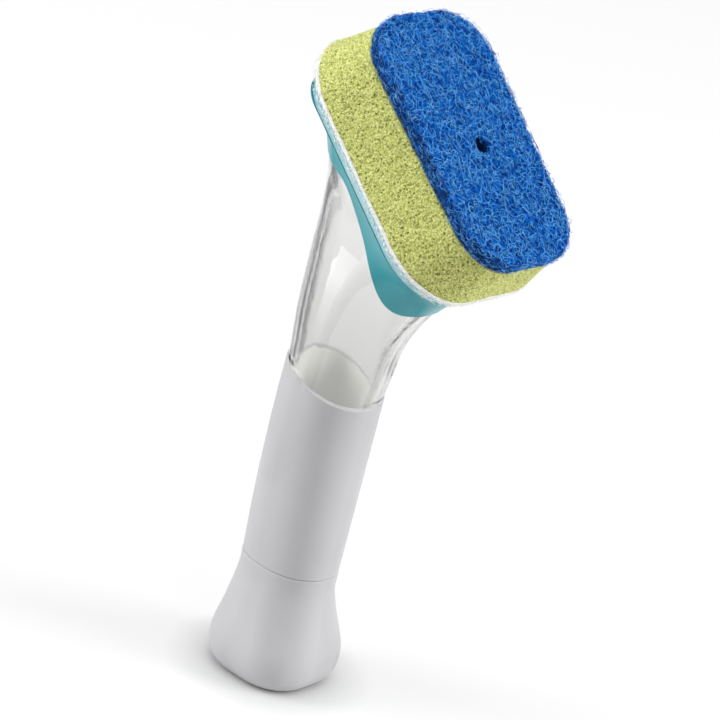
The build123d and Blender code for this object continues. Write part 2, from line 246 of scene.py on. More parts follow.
# The clear body stands on the grip's rim, and is lifted off it by a hair so that the two don't merge.
# The elastomer is bonded to it there, so light goes straight on and shows the rim through the wall
def makeClearBody(outside, inside, bonded):
    mesh = splitOutsideInside("reservoir", "clearBody", outside, inside)
    mesh.materials.append(bonded)
    for face in mesh.polygons:
        if abs((face.center - rimPlace).dot(rimNormal)) < onPlane * mm:
            face.material_index = 2
    liftEdge(mesh, rimPlace, rimNormal, clearBody["rimGap"])


# Polypropylene, injection moulded with a satin finish: soft edged reflections and a faint haze of colour.
# The grey nylon inside the cap and head looks alike, and uses the same values
polypropylene = {
    "ior": 1.49,
    "haze": 0.08,
    "hazeDepth": 0.6,
    "cloud": 18,
    "grain": 0.5,
    "bump": (0.06, 0.04),
}
tealCowl = {"light": "#3ba4ae", "dark": "#319aa5", "roughness": 0.3}
palePlate = {"light": "#a5d2da", "dark": "#8fc4cf", "roughness": 0.34}
greyCore = {"light": "#a6a8ac", "dark": "#9a9ca0", "roughness": 0.45}


def polypropyleneMaterial(name, light, dark, roughness):
    material, tree, shader, place = newMaterial(
        name,
        {
            "Roughness": roughness,
            "IOR": polypropylene["ior"],
            "Subsurface Weight": polypropylene["haze"],
            "Subsurface Radius": (1.0, 1.0, 1.0),
            "Subsurface Scale": polypropylene["hazeDepth"] * mm,
        },
    )
    colour, _ = colourNoise(tree, place, polypropylene["cloud"], 2, cloudSpan, dark, light)
    tree.links.new(colour, shader.inputs["Base Color"])
    grain = addNoise(tree, place, polypropylene["grain"], 2)
    addBump(tree, shader, grain.outputs["Fac"], *polypropylene["bump"])
    return material


# Silicone rubber, moulded thin: milky, with a dull shine
valveRubber = {
    "light": "#eceeed",
    "dark": "#dfe3e2",
    "span": (0.4, 0.6),
    "cloud": 3,
    "roughness": 0.4,
    "ior": 1.41,
    "clear": 0.5,
    "haze": 0.2,
    "hazeDepth": 1.0,
}


def siliconeMaterial():
    material, tree, shader, place = newMaterial(
        "mouldedSilicone",
        {
            "Roughness": valveRubber["roughness"],
            "IOR": valveRubber["ior"],
            "Transmission Weight": valveRubber["clear"],
            "Subsurface Weight": valveRubber["haze"],
            "Subsurface Scale": valveRubber["hazeDepth"] * mm,
        },
    )
    colour, _ = colourNoise(
        tree, place, valveRubber["cloud"], 2, valveRubber["span"], valveRubber["dark"], valveRubber["light"]
    )
    tree.links.new(colour, shader.inputs["Base Color"])
    return material


# Polyurethane foam, cut from a block: each open pore is a dark speck between pale struts; that dark is
# painted shade inside the open cells
foam = {
    "pale": "#f3f5a2",
    "body": "#bdc564",
    # the pores' dark: painted shade inside the open cells
    "deep": "#727d28",
    "grain": 0.5,
    "grainSpan": (0.42, 0.6),
    # mm apart, and from where to where a pore fades: a little coarser than the real cells, so that they show
    "pores": ((1.4, 0.08, 0.32), (0.78, 0.02, 0.34)),
    "bend": 0.9,
    "bump": (0.7, 0.4),
    "roughness": 0.95,
    "ior": 1.45,
    "specular": 0.2,
    "sheen": 0.25,
    "sheenRoughness": 0.5,
    "sheenTint": "#fbfbd2",
    "haze": 0.1,
    "hazeDepth": 0.5,
}


def foamMaterial():
    material, tree, shader, place = newMaterial(
        "cutPolyurethaneFoam",
        {
            "Roughness": foam["roughness"],
            "IOR": foam["ior"],
            "Specular IOR Level": foam["specular"],
            "Sheen Weight": foam["sheen"],
            "Sheen Roughness": foam["sheenRoughness"],
            "Sheen Tint": toLinear(foam["sheenTint"]),
            "Subsurface Weight": foam["haze"],
            "Subsurface Scale": foam["hazeDepth"] * mm,
            "Subsurface Radius": (1.0, 1.0, 0.5),
        },
    )
    colour, height = colourNoise(
        tree, place, foam["grain"], 3, foam["grainSpan"], foam["body"], foam["pale"]
    )
    # Noise bends the rings of the cells, so that no pore is round
    bend = addNoise(tree, place, foam["bend"], 2)
    bent = addNode(
        tree,
        "ShaderNodeVectorMath",
        {"operation": "MULTIPLY_ADD", 1: (foam["bend"] * mm,) * 3},
        {0: bend.outputs["Color"], 2: place},
    ).outputs["Vector"]
    for spacing, low, high in foam["pores"]:
        cell = addNode(
            tree,
            "ShaderNodeTexVoronoi",
            {"Scale": 1 / (spacing * mm), "Randomness": 1.0},
            {"Vector": bent},
        )
        pore = addNode(
            tree,
            "ShaderNodeMapRange",
            {"From Min": low, "From Max": high, "To Min": 1.0, "To Max": 0.0},
            {"Value": cell.outputs["Distance"]},
        )
        # each pore is painted darker: painted shade inside the open cell
        colour = addNode(
            tree,
            "ShaderNodeMix",
            {"data_type": "RGBA", 7: toLinear(foam["deep"])},
            {0: pore.outputs[0], 6: colour},
        ).outputs[2]
        height = addNode(
            tree, "ShaderNodeMath", {"operation": "SUBTRACT"}, {0: height, 1: pore.outputs[0]}
        ).outputs[0]
    tree.links.new(colour, shader.inputs["Base Color"])
    addBump(tree, shader, height, *foam["bump"])
    return material


# Nylon fibre, spun and bonded into a web: each strand has a dull shine.
# The seals' rubber and the polyester fleece have the same dull shine
fibre = {"ior": 1.5, "specular": 0.15, "mottle": 1.6}
ringRubber = {"light": "#d9dada", "dark": "#cfd0d0", "roughness": 0.6, "size": 6}
# Loose white fibre lets light through from behind, so a little glow stands in for that
whiteFibre = {"light": "#fbfbf9", "dark": "#f1f1ee", "roughness": 0.85, "glow": 0.15}


def fibreMaterial(name, light, dark, roughness, size=fibre["mottle"], glow=0):
    material, tree, shader, place = newMaterial(
        name,
        {
            "Roughness": roughness,
            "IOR": fibre["ior"],
            "Specular IOR Level": fibre["specular"],
            "Emission Color": toLinear(light),
            "Emission Strength": glow,
        },
    )
    colour, _ = colourNoise(tree, place, size, 2, cloudSpan, dark, light)
    tree.links.new(colour, shader.inputs["Base Color"])
    return material


# The head's own axes: along it to the tip, across it, and depth behind the pad's face
head = {"pitch": 49.35, "reach": 29.3, "height": 197.8}
pitch = math.radians(head["pitch"])
facing = np.array([math.cos(pitch), 0, math.sin(pitch)])
tipward = np.array([-math.sin(pitch), 0, math.cos(pitch)])
padMiddle = np.array([head["reach"], 0, head["height"]])


# Rows of (along, across, depth) in mm to points of the frame in metres
def fromHead(rows):
    rows = np.asarray(rows, float)
    flat = rows.reshape(-1, 3)
    points = padMiddle + np.outer(flat[:, 0], tipward) - np.outer(flat[:, 2], facing)
    points[:, 1] += flat[:, 1]
    return (points * mm).reshape(rows.shape)


cornerSteps = 24


# A rounded four-sided outline, as evenly spaced points that start at the middle of the tip's edge
def roundedOutline(halfLength, tipHalf, heelHalf, rounding, shift, count):
    corners = [
        (halfLength, tipHalf),
        (-halfLength, heelHalf),
        (-halfLength, -heelHalf),
        (halfLength, -tipHalf),
    ]
    path = [Vector((halfLength, 0))]
    for index, corner in enumerate(corners):
        here = Vector(corner)
        before = (Vector(corners[index - 1]) - here).normalized()
        after = (Vector(corners[(index + 1) % 4]) - here).normalized()
        half = before.angle(after) / 2
        centre = here + (before + after).normalized() * rounding / math.sin(half)
        start = here + before * rounding / math.tan(half) - centre
        sweep = math.pi - 2 * half
        for step in range(cornerSteps + 1):
            angle = sweep * step / cornerSteps
            turned = Vector((
                start.x * math.cos(angle) - start.y * math.sin(angle),
                start.x * math.sin(angle) + start.y * math.cos(angle),
            ))
            path.append(centre + turned)
    path.append(Vector((halfLength, 0)))
    path = np.array([(point.x + shift, point.y) for point in path])
    gaps = np.linalg.norm(np.diff(path, axis=0), axis=1)
    run = np.concatenate([[0], np.cumsum(gaps)])
    places = np.linspace(0, run[-1], count, endpoint=False)
    return np.stack([np.interp(places, run, path[:, 0]), np.interp(places, run, path[:, 1])], axis=1)


# Outward normals of a closed outline that runs anticlockwise
def outlineNormals(points):
    tangent = np.roll(points, -1, axis=0) - np.roll(points, 1, axis=0)
    normal = np.stack([tangent[:, 1], -tangent[:, 0]], axis=1)
    return normal / np.linalg.norm(normal, axis=1)[:, None]


# An outline for strands to follow, with its normals and its length
def strandPath(outline, count):
    points = roundedOutline(*outline, count)
    length = np.linalg.norm(np.roll(points, -1, axis=0) - points, axis=1).sum()
    return points, outlineNormals(points), length


# Smooth value noise from a sum of seeded waves, the same on every run
def waves(points, size, seed, count):
    rng = np.random.default_rng(seed)
    direction = rng.normal(size=(count, points.shape[-1]))
    direction /= np.linalg.norm(direction, axis=1)[:, None]
    rate = 2 * math.pi / (size * rng.uniform(0.7, 1.4, count))
    phase = rng.uniform(0, 2 * math.pi, count)
    total = np.zeros(points.shape[:-1])
    for step in range(count):
        total += np.sin(points @ direction[step] * rate[step] + phase[step])
    return total / math.sqrt(count / 2)


def meshPiece(name, points, faces, material, body):
    mesh = bpy.data.meshes.new(name)
    mesh.from_pydata(np.asarray(points).reshape(-1, 3).tolist(), [], faces)
    mesh.validate()
    mesh.polygons.foreach_set("use_smooth", [True] * len(mesh.polygons))
    materials = material if isinstance(material, list) else [material]
    for entry in materials:
        mesh.materials.append(entry)
    piece = bpy.data.objects.new(name, mesh)
    bpy.context.scene.collection.objects.link(piece)
    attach(piece, body)
    return piece


# Faces of a grid whose rows are closed rings, and whose last row joins the first again
def ringFaces(rows, count):
    faces = []
    for row in range(rows):
        low, high = row * count, ((row + 1) % rows) * count
        for step in range(count):
            beside = (step + 1) % count
            faces.append((low + step, low + beside, high + beside, high + step))
    return faces


# How far a rounded edge draws in, by the distance from the face that it turns into
def drawnIn(distance, rounding):
    if distance >= rounding:
        return 0
    return rounding - math.sqrt(max(rounding ** 2 - (rounding - distance) ** 2, 0))


# A slab with a hole: rings go up its side, in over the face, down the hole and out over the back.
# A pocket in the back is an outline and the depth of its roof
def slabRings(back, front, hole, rows, inRows, rounds, backDepth, frontDepth, pocket=None):
    rings = []
    topRound, bottomRound = rounds
    span = backDepth - frontDepth
    for step in range(rows + 1):
        share = step / rows
        depth = backDepth - span * share
        outline = back * (1 - share) + front * share
        inward = max(drawnIn(depth - frontDepth, topRound), drawnIn(backDepth - depth, bottomRound))
        rings.append((outline - outlineNormals(outline) * inward, depth))
    topEdge, bottomEdge = rings[-1][0], rings[0][0]
    for step in range(1, inRows + 1):
        share = step / inRows
        rings.append((topEdge * (1 - share) + hole * share, frontDepth))
    inner = hole
    if pocket:
        inner, roof = pocket
        rings += [(hole, roof), (inner, roof), (inner, backDepth)]
    for step in range(1, inRows + 1):
        share = step / inRows
        rings.append((inner * (1 - share) + bottomEdge * share, backDepth))
    return rings[:-1]


def ringsToPoints(rings):
    return np.array([
        np.column_stack([ring, np.full(len(ring), depth)]) for ring, depth in rings
    ])


# Hole outline with the same count of points and the same starting place as the outer one
def roundHole(radius, count):
    angle = np.linspace(0, 2 * math.pi, count, endpoint=False)
    hole = np.stack([np.cos(angle), np.sin(angle)], axis=1) * radius
    return hole + np.array([sponge["holeShift"], 0])


# Outlines are half length, half width at the tip and at the heel, rounding, and shift towards the tip
sponge = {
    "foamBack": (44.5, 33.15, 33.15, 21.6, 1.2),
    "padOutline": (42.0, 26.35, 23.85, 16.3, 0.0),
    "padThick": 4.85,
    "foamThick": 16.9,
    "backingThick": 1.0,
    "foamHole": 3.1,
    "padHole": 2.9,
    "holeShift": -2.9,
    "channelHole": (29.625, 12.5, 12.5, 0.3, -10.625),  # the plate's channel rises into fleece and foam here
    "channelRoof": 20.1,
}

# Waves are size in mm, seed and count
foamForm = {
    "step": 0.34,
    "around": 280,
    "faceRows": 6,
    "rounds": (0.7, 0.4),
    "poreWaves": ((1.4, 11, 60), (0.9, 12, 60)),
    "poreStart": 0.3,
    "deepest": 1.6,
    "poreDepth": 0.4,
    "strutRise": 0.06,
    "softWave": (14, 13, 16),
    "softDepth": 0.12,
    "fill": 0.9,
}


def makeFoam(material):
    count = int(foamForm["around"] / foamForm["step"])
    back = roundedOutline(*sponge["foamBack"], count)
    front = roundedOutline(*sponge["padOutline"], count)
    rows = int(sponge["foamThick"] / foamForm["step"])
    padBack = sponge["padThick"]
    foamBack = padBack + sponge["foamThick"]
    hole = roundHole(sponge["foamHole"], count)
    pocket = (roundedOutline(*sponge["channelHole"], count), sponge["channelRoof"])
    rings = slabRings(
        back, front, hole, rows, foamForm["faceRows"], foamForm["rounds"], foamBack, padBack, pocket
    )
    points = ringsToPoints(rings)
    side = points[:rows + 1]
    normals = np.array([outlineNormals(ring[:, :2]) for ring in side])
    coarse, fine = [waves(side, *wave) * 0.5 for wave in foamForm["poreWaves"]]
    pores = coarse + fine
    sunk = -np.clip(pores - foamForm["poreStart"], 0, foamForm["deepest"]) * foamForm["poreDepth"]
    sunk += np.clip(-pores, 0, 1) * foamForm["strutRise"]
    soft = waves(side, *foamForm["softWave"]) * foamForm["softDepth"]
    side[:, :, :2] += normals * (sunk + soft)[:, :, None]
    points[:rows + 1] = side
    faces = ringFaces(len(rings), count)
    piece = meshPiece("foamBlock", fromHead(points), faces, material, "refill")
    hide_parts("foam_sponge")
    print("foam block:", len(piece.data.polygons), "faces")


tubeTip = 0.35  # a tube's ends, as a share of its thickness
nearNothing = 1e-12  # keeps a division by a length from failing


# Thin three-sided tubes along rows of points, with one radius for each tube
def tubes(paths, radii, upward):
    tangent = np.gradient(paths, axis=1)
    tangent /= np.linalg.norm(tangent, axis=2)[:, :, None] + nearNothing
    side = np.cross(tangent, upward)
    side /= np.linalg.norm(side, axis=2)[:, :, None] + nearNothing
    over = np.cross(side, tangent)
    taper = np.ones(paths.shape[1])
    taper[0] = taper[-1] = tubeTip
    rings = []
    for corner in range(3):
        angle = 2 * math.pi * corner / 3
        offset = side * math.cos(angle) + over * math.sin(angle)
        rings.append(paths + offset * (radii[:, None] * taper)[:, :, None])
    return np.stack(rings, axis=2)


def tubeFaces(tubeCount, length):
    faces = []
    for tube in range(tubeCount):
        start = tube * length * 3
        for step in range(length - 1):
            low, high = start + step * 3, start + step * 3 + 3
            faces.append((low, low + 1, high + 1, high))
            faces.append((low + 1, low + 2, high + 2, high + 1))
            faces.append((low + 2, low, high, high + 2))
        faces.append((start + 2, start + 1, start))
        end = start + (length - 1) * 3
        faces.append((end, end + 1, end + 2))
    return faces


def setMaterialRuns(piece, choice, facesEach):
    piece.data.polygons.foreach_set("material_index", np.repeat(choice, facesEach).astype(np.int32))
    piece.data.update()


# Is a point inside an outline, and how far from it: positive inside
def insideBy(points, outline):
    normals = outlineNormals(outline)
    gap = points[:, None, :] - outline[None, :, :]
    nearest = np.argmin((gap ** 2).sum(2), axis=1)
    rows = np.arange(len(points))
    return -(gap[rows, nearest] * normals[nearest]).sum(1)


# Rows of points that wander from nought, by the reach in mm of a straight one
def curlyWalk(rng, count, steps, reach, curl):
    heading = rng.uniform(0, 2 * math.pi, count)
    bias = rng.normal(0, curl, count)
    turns = rng.normal(0, curl * 0.8, (count, steps - 1)) + bias[:, None]
    headings = heading[:, None] + np.cumsum(turns, axis=1)
    gaps = reach / (steps - 1) * rng.uniform(0.7, 1.25, count)
    moves = np.stack([np.cos(headings), np.sin(headings)], axis=2) * gaps[:, None, None]
    return np.concatenate([np.zeros((count, 1, 2)), np.cumsum(moves, axis=1)], axis=1)


# A direction that few strands keep to, from which their tubes are turned
sideways = np.array([0.3, 0.9, 0.2])

# The slab of web under the strands: its dark colour, on the face and the side, is painted shade in the gaps
# between them. Waves are size in mm, seed and count
web = {
    "face": ("#023a8c", "#01286a", 0.8),
    "side": ("#0b3c7a", "#062856", 0.8),
    "around": 420,
    "rows": 8,
    "faceRows": 34,
    "rounds": (0.4, 0.3),
    "inset": 0.1,
    "depth": 0.6,
    "lumps": (1.6, 21, 50),
    "sideLump": 0.14,
    "faceLump": 0.16,
    "fill": 1.0,
}


def makeWeb():
    count, rows, inRows = web["around"], web["rows"], web["faceRows"]
    outline = roundedOutline(*sponge["padOutline"], count)
    inner = outline - outlineNormals(outline) * web["inset"]
    hole = roundHole(sponge["padHole"], count)
    rings = slabRings(inner, inner, hole, rows, inRows, web["rounds"], sponge["padThick"], web["depth"])
    points = ringsToPoints(rings)
    lumps = waves(points, *web["lumps"])
    normals = np.array([outlineNormals(ring[:, :2]) for ring in points[:rows + 1]])
    points[:rows + 1, :, :2] += normals * (lumps[:rows + 1] * web["sideLump"])[:, :, None]
    faceRows = slice(rows + 1, rows + 1 + inRows)
    points[faceRows, :, 2] += lumps[faceRows] * web["faceLump"]
    materials = [
        fibreMaterial("shadedBondedNylonWeb", *web["face"]),
        fibreMaterial("shadedCutNylonWeb", *web["side"]),
    ]
    faces = ringFaces(len(rings), count)
    slab = meshPiece("scouringWeb", fromHead(points), faces, materials, "refill")
    setMaterialRuns(slab, [1] * (rows - 1) + [0] * (len(rings) - rows + 1), count)
    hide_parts("scouring_pad")


# Strands lie in a net: the pale ones on top, the deep ones under them, and dark web in the gaps. These tones
# by depth are painted light and shade. Each colour row is light, dark and roughness
pad = {
    "seed": 31,
    "radius": (0.07, 0.115),
    "steps": 6,
    "curl": 0.45,
    "rimPoints": 2400,
    "tones": ("pale", "blue", "deep"),
}

# Strands on the face: they wander, dip into the web and rise out of it
faceLay = {
    "strands": 8200,
    "thickness": 1.0,
    "reach": 3.6,
    "spread": (0.754878, 0.569840),  # two irrational steps, which spread the middles evenly
    "fromEdge": 0.1,
    "fromHole": 0.2,
    "level": (-0.12, 0.5),  # depth of the highest and the lowest strand
    "swing": (0.03, 0.16),
    "swings": 1.2,
    "bendFrom": -0.3,  # past the pad's edge, from where a strand bends down, and how steeply
    "bend": 0.9,
    "pullFrom": 0.1,
    "pull": 0.97,
    "reachIn": (-0.2, 1.6),  # how far strands reach in over the hole's edge
    "dip": 0.7,
    # the depths at which a strand turns from pale to blue to deep: painted light and shade
    "shares": (0.3, 0.66),
    "rows": [("#78c6ff", "#46acff", 0.6), ("#008efa", "#007cea", 0.6), ("#005cc2", "#0049a6", 0.6)],
}


def facePaths(rng):
    steps = pad["steps"]
    outline = roundedOutline(*sponge["padOutline"], web["around"])[::2]
    holeMiddle = np.array([sponge["holeShift"], 0])
    order = np.arange(faceLay["strands"])
    spread = np.stack([order * step % 1 - 0.5 for step in faceLay["spread"]], axis=1)
    start = spread * 2 * np.array(sponge["padOutline"][:2])
    fromHole = np.linalg.norm(start - holeMiddle, axis=1) - sponge["padHole"]
    start = start[(insideBy(start, outline) > faceLay["fromEdge"]) & (fromHole > faceLay["fromHole"])]
    walk = curlyWalk(rng, len(start), steps, faceLay["reach"], pad["curl"])
    flat = start[:, None, :] + walk - walk[:, steps // 2][:, None, :]
    height = rng.uniform(0, 1, len(start))
    high, low = faceLay["level"]
    level = high + height * (low - high)
    swing = rng.uniform(*faceLay["swing"], len(start))
    phase = rng.uniform(0, 2 * math.pi, len(start))
    along = np.linspace(0, 2 * math.pi, steps)
    depth = level[:, None] + swing[:, None] * np.sin(along[None, :] * faceLay["swings"] + phase[:, None])
    over = -insideBy(flat.reshape(-1, 2), outline).reshape(depth.shape)
    depth += np.clip(over - faceLay["bendFrom"], 0, 4) * faceLay["bend"]
    pull = np.clip(over - faceLay["pullFrom"], 0, 9) * faceLay["pull"]
    # Some strands reach in over the hole's edge and dip, the others are pushed out to it
    reachIn = rng.uniform(*faceLay["reachIn"], len(start))
    beside = flat - holeMiddle
    middle = np.linalg.norm(beside, axis=2)
    push = np.clip(sponge["padHole"] - reachIn[:, None] - middle, 0, 3)
    depth += np.clip(sponge["padHole"] - middle, 0, 2) * faceLay["dip"]
    flat += beside / (middle[:, :, None] + 1e-6) * push[:, :, None]
    centred = np.linalg.norm(flat, axis=2)
    shift = flat / (centred[:, :, None] + 1e-6) * pull[:, :, None]
    # The higher a strand lies, the paler it is: painted light and shade by depth
    return np.concatenate([flat - shift, depth[:, :, None]], axis=2), np.digitize(height, faceLay["shares"])


# Strands round the side, darker than those on the face: painted shade on the pad's side
sideLay = {
    "strands": 2000,
    "thickness": 0.9,
    "reach": 4.5,
    "start": (0.3, 4.6),
    "drop": 0.55,
    "depths": (-0.1, 4.9),
    "out": (-0.25, 0.15),
    "swing": 0.14,
    "swings": 1.3,
    "shares": (0.32, 0.36, 0.32),
    "rows": [("#6fa8e4", "#4484cc", 0.6), ("#1c66b4", "#10549c", 0.6), ("#0b4690", "#073674", 0.6)],
}


def sidePaths(rng, rim, rimNormals, perimeter):
    count = sideLay["strands"]
    walk = curlyWalk(rng, count, pad["steps"], sideLay["reach"], pad["curl"])
    around = rng.uniform(0, perimeter, count)[:, None] + walk[:, :, 0]
    down = rng.uniform(*sideLay["start"], count)[:, None] + walk[:, :, 1] * sideLay["drop"]
    index = (around / perimeter * len(rim)).astype(int) % len(rim)
    along = np.linspace(0, 2 * math.pi, pad["steps"])
    swing = sideLay["swing"] * np.sin(along[None, :] * sideLay["swings"] + around)
    out = rng.uniform(*sideLay["out"], count)[:, None] + swing
    flat = rim[index] + rimNormals[index] * out[:, :, None]
    return np.concatenate([flat, np.clip(down, *sideLay["depths"])[:, :, None]], axis=2)


# Strays that stand out from the side, paler than those on the face. Their paler tone and a little glow are
# painted light, for light that comes through a single strand
strayLay = {
    "strands": 900,
    "thickness": 0.6,
    "reach": 4.5,
    "lift": (0.4, 1.3),
    "rooted": 0.3,
    "along": 0.8,
    "start": (0, 4.2),
    "drop": 0.5,
    "depths": (-0.7, 4.8),
    "shares": (0.3, 0.5, 0.2),
    "rows": [("#8ccaff", "#5cb0ff", 0.6), ("#2e92f6", "#1c80ea", 0.6), ("#0c66cc", "#0656b4", 0.6)],
    "glow": 0.2,
}


def strayPaths(rng, rim, rimNormals, perimeter):
    count = strayLay["strands"]
    index = rng.integers(0, len(rim), count)
    walk = curlyWalk(rng, count, pad["steps"], strayLay["reach"], pad["curl"])
    share = np.linspace(0, 1, pad["steps"])
    lift = rng.uniform(*strayLay["lift"], count)[:, None] * np.sin(share[None, :] * math.pi)
    around = index[:, None] + (walk[:, :, 0] / perimeter * len(rim) * strayLay["along"]).astype(int)
    around %= len(rim)
    flat = rim[around] + rimNormals[around] * (lift - strayLay["rooted"])[:, :, None]
    down = rng.uniform(*strayLay["start"], count)[:, None] + walk[:, :, 1] * strayLay["drop"]
    return np.concatenate([flat, np.clip(down, *strayLay["depths"])[:, :, None]], axis=2)


def strandMaterials(kind, lay):
    return [
        fibreMaterial(tone + kind, *row, glow=lay.get("glow", 0))
        for tone, row in zip(pad["tones"], lay["rows"])
    ]


def makePad():
    makeWeb()
    rng = np.random.default_rng(pad["seed"])
    onFace, faceChoice = facePaths(rng)
    rim = strandPath(sponge["padOutline"], pad["rimPoints"])
    onSide = sidePaths(rng, *rim)
    offSide = strayPaths(rng, *rim)
    sideChoice = rng.choice(3, len(onSide), p=sideLay["shares"])
    strayChoice = rng.choice(3, len(offSide), p=strayLay["shares"])
    groups = [
        ("faceStrands", "NylonStrand", faceLay, onFace, facing, faceChoice),
        ("sideStrands", "ShadedCutStrand", sideLay, onSide, sideways, sideChoice),
        ("strayStrands", "LooseStrand", strayLay, offSide, sideways, strayChoice),
    ]
    for name, kind, lay, paths, upward, choice in groups:
        world = fromHead(paths)
        radii = rng.uniform(*pad["radius"], len(world)) * lay["thickness"] * mm
        points, faces = tubes(world, radii, upward), tubeFaces(len(world), pad["steps"])
        piece = meshPiece(name, points, faces, strandMaterials(kind, lay), "refill")
        setMaterialRuns(piece, choice, (pad["steps"] - 1) * 3 + 2)
        print(name + ":", len(world))


# The fleece's hairs: most lie round its edge, and some reach back over the plate's edge
fleece = {
    "around": 520,
    "rows": 4,
    "faceRows": 5,
    "rounds": (0.25, 0.3),
    "outset": 0.2,
    "fuzz": (0.9, 41, 50),  # size in mm, seed and count of waves
    "fuzzDepth": 0.1,
    "fill": 1.0,
    "seed": 43,
    "rimPoints": 2600,
    "hairs": 3200,
    "reach": 2.0,
    "steps": 5,
    "curl": 0.5,
    "radius": (0.04, 0.08),
    "lift": (-0.1, 0.4),
    "start": 0.1,
    "spread": 2.2,
    "drop": 0.45,
    "past": (0.3, 1.6),  # how far hairs may pass the fleece to the front and to the back
    "root": 0.8,
}


def makeBacking(material):
    count, rows = fleece["around"], fleece["rows"]
    outline = roundedOutline(*sponge["foamBack"], count)
    outline += outlineNormals(outline) * fleece["outset"]
    frontDepth = sponge["padThick"] + sponge["foamThick"]
    backDepth = frontDepth + sponge["backingThick"]
    hole = roundedOutline(*sponge["channelHole"], count)
    rings = slabRings(
        outline, outline, hole, rows, fleece["faceRows"], fleece["rounds"], backDepth, frontDepth
    )
    points = ringsToPoints(rings)
    fuzz = waves(points, *fleece["fuzz"])
    normals = np.array([outlineNormals(ring[:, :2]) for ring in points[:rows + 1]])
    points[:rows + 1, :, :2] += normals * (fuzz[:rows + 1] * fleece["fuzzDepth"])[:, :, None]
    faces = ringFaces(len(rings), count)
    slab = meshPiece("fleeceLayer", fromHead(points), faces, material, "refill")
    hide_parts("backing_layer")

    rng = np.random.default_rng(fleece["seed"])
    hairs, steps = fleece["hairs"], fleece["steps"]
    rim, rimNormals, perimeter = strandPath(sponge["foamBack"], fleece["rimPoints"])
    walk = curlyWalk(rng, hairs, steps, fleece["reach"], fleece["curl"])
    around = rng.uniform(0, perimeter, hairs)[:, None] + walk[:, :, 0]
    index = (around / perimeter * len(rim)).astype(int) % len(rim)
    share = np.linspace(0, 1, steps)
    lift = rng.uniform(*fleece["lift"], hairs)[:, None] * share[None, :]
    fromFront = fleece["spread"] * rng.uniform(0, 1, hairs)[:, None] ** 2
    depth = frontDepth + fleece["start"] + fromFront + walk[:, :, 1] * fleece["drop"]
    depth = np.clip(depth, frontDepth - fleece["past"][0], backDepth + fleece["past"][1])
    flat = rim[index] + rimNormals[index] * (lift + fleece["outset"] * fleece["root"])[:, :, None]
    world = fromHead(np.concatenate([flat, depth[:, :, None]], axis=2))
    radii = rng.uniform(*fleece["radius"], hairs) * mm
    points = tubes(world, radii, sideways)
    meshPiece("fleeceHairs", points, tubeFaces(hairs, steps), material, "refill")
    print("fleece layer and hairs:", hairs)


# Stage: a pale floor that shows white to the camera and keeps the wand's shadow
stage = {
    "size": 6.0,
    "floor": "#e4e4e4",
    "floorSeen": "#a4a4a4",
    "floorGlow": 0.61,
    "shadowReach": 0.016,
    "shadowSamples": 8,
    "world": 0.25,
    "backdrop": 1.0,
}
white = (1, 1, 1, 1)


# 1 for rays that come straight from the camera, off gloss or through glass, so that these see the white
# backdrop
def seenDirectly(tree):
    rays = addNode(tree, "ShaderNodeLightPath", {})
    both = addNode(
        tree,
        "ShaderNodeMath",
        {"operation": "MAXIMUM"},
        {0: rays.outputs["Is Camera Ray"], 1: rays.outputs["Is Transmission Ray"]},
    )
    return addNode(
        tree,
        "ShaderNodeMath",
        {"operation": "MAXIMUM"},
        {0: both.outputs[0], 1: rays.outputs["Is Glossy Ray"]},
    ).outputs[0]


def makeStage():
    half = stage["size"] / 2
    mesh = bpy.data.meshes.new("studioFloor")
    corners = [(-half, -half, 0), (half, -half, 0), (half, half, 0), (-half, half, 0)]
    mesh.from_pydata(corners, [], [(0, 1, 2, 3)])
    floor = bpy.data.objects.new("studioFloor", mesh)
    bpy.context.scene.collection.objects.link(floor)
    material, tree = bareMaterial("paintedStudioFloor")
    paint = addNode(tree, "ShaderNodeBsdfDiffuse", {"Color": toLinear(stage["floor"])})
    seenPaint = addNode(tree, "ShaderNodeBsdfDiffuse", {"Color": toLinear(stage["floorSeen"])})
    # The glow is dimmed near the foot by occlusion: a painted contact shadow where two surfaces meet
    near = addNode(
        tree,
        "ShaderNodeAmbientOcclusion",
        {"samples": stage["shadowSamples"], "Distance": stage["shadowReach"]},
    )
    dimmed = addNode(
        tree, "ShaderNodeMath", {"operation": "MULTIPLY", 1: stage["floorGlow"]}, {0: near.outputs["AO"]}
    )
    glow = addNode(tree, "ShaderNodeEmission", {"Color": white}, {"Strength": dimmed.outputs[0]})
    both = addNode(tree, "ShaderNodeAddShader", {}, {0: seenPaint.outputs[0], 1: glow.outputs[0]})
    choice = addNode(
        tree,
        "ShaderNodeMixShader",
        {},
        {"Fac": seenDirectly(tree), 1: paint.outputs[0], 2: both.outputs[0]},
    )
    addNode(tree, "ShaderNodeOutputMaterial", {}, {"Surface": choice.outputs[0]})
    mesh.materials.append(material)


def makeWorld():
    world = bpy.data.worlds.new("studioRoom")
    bpy.context.scene.world = world
    world.use_nodes = True
    tree = world.node_tree
    tree.nodes.clear()
    room = addNode(tree, "ShaderNodeBackground", {"Color": white, "Strength": stage["world"]})
    backdrop = addNode(tree, "ShaderNodeBackground", {"Color": white, "Strength": stage["backdrop"]})
    choice = addNode(
        tree,
        "ShaderNodeMixShader",
        {},
        {"Fac": seenDirectly(tree), 1: room.outputs[0], 2: backdrop.outputs[0]},
    )
    addNode(tree, "ShaderNodeOutputWorld", {}, {"Surface": choice.outputs[0]})


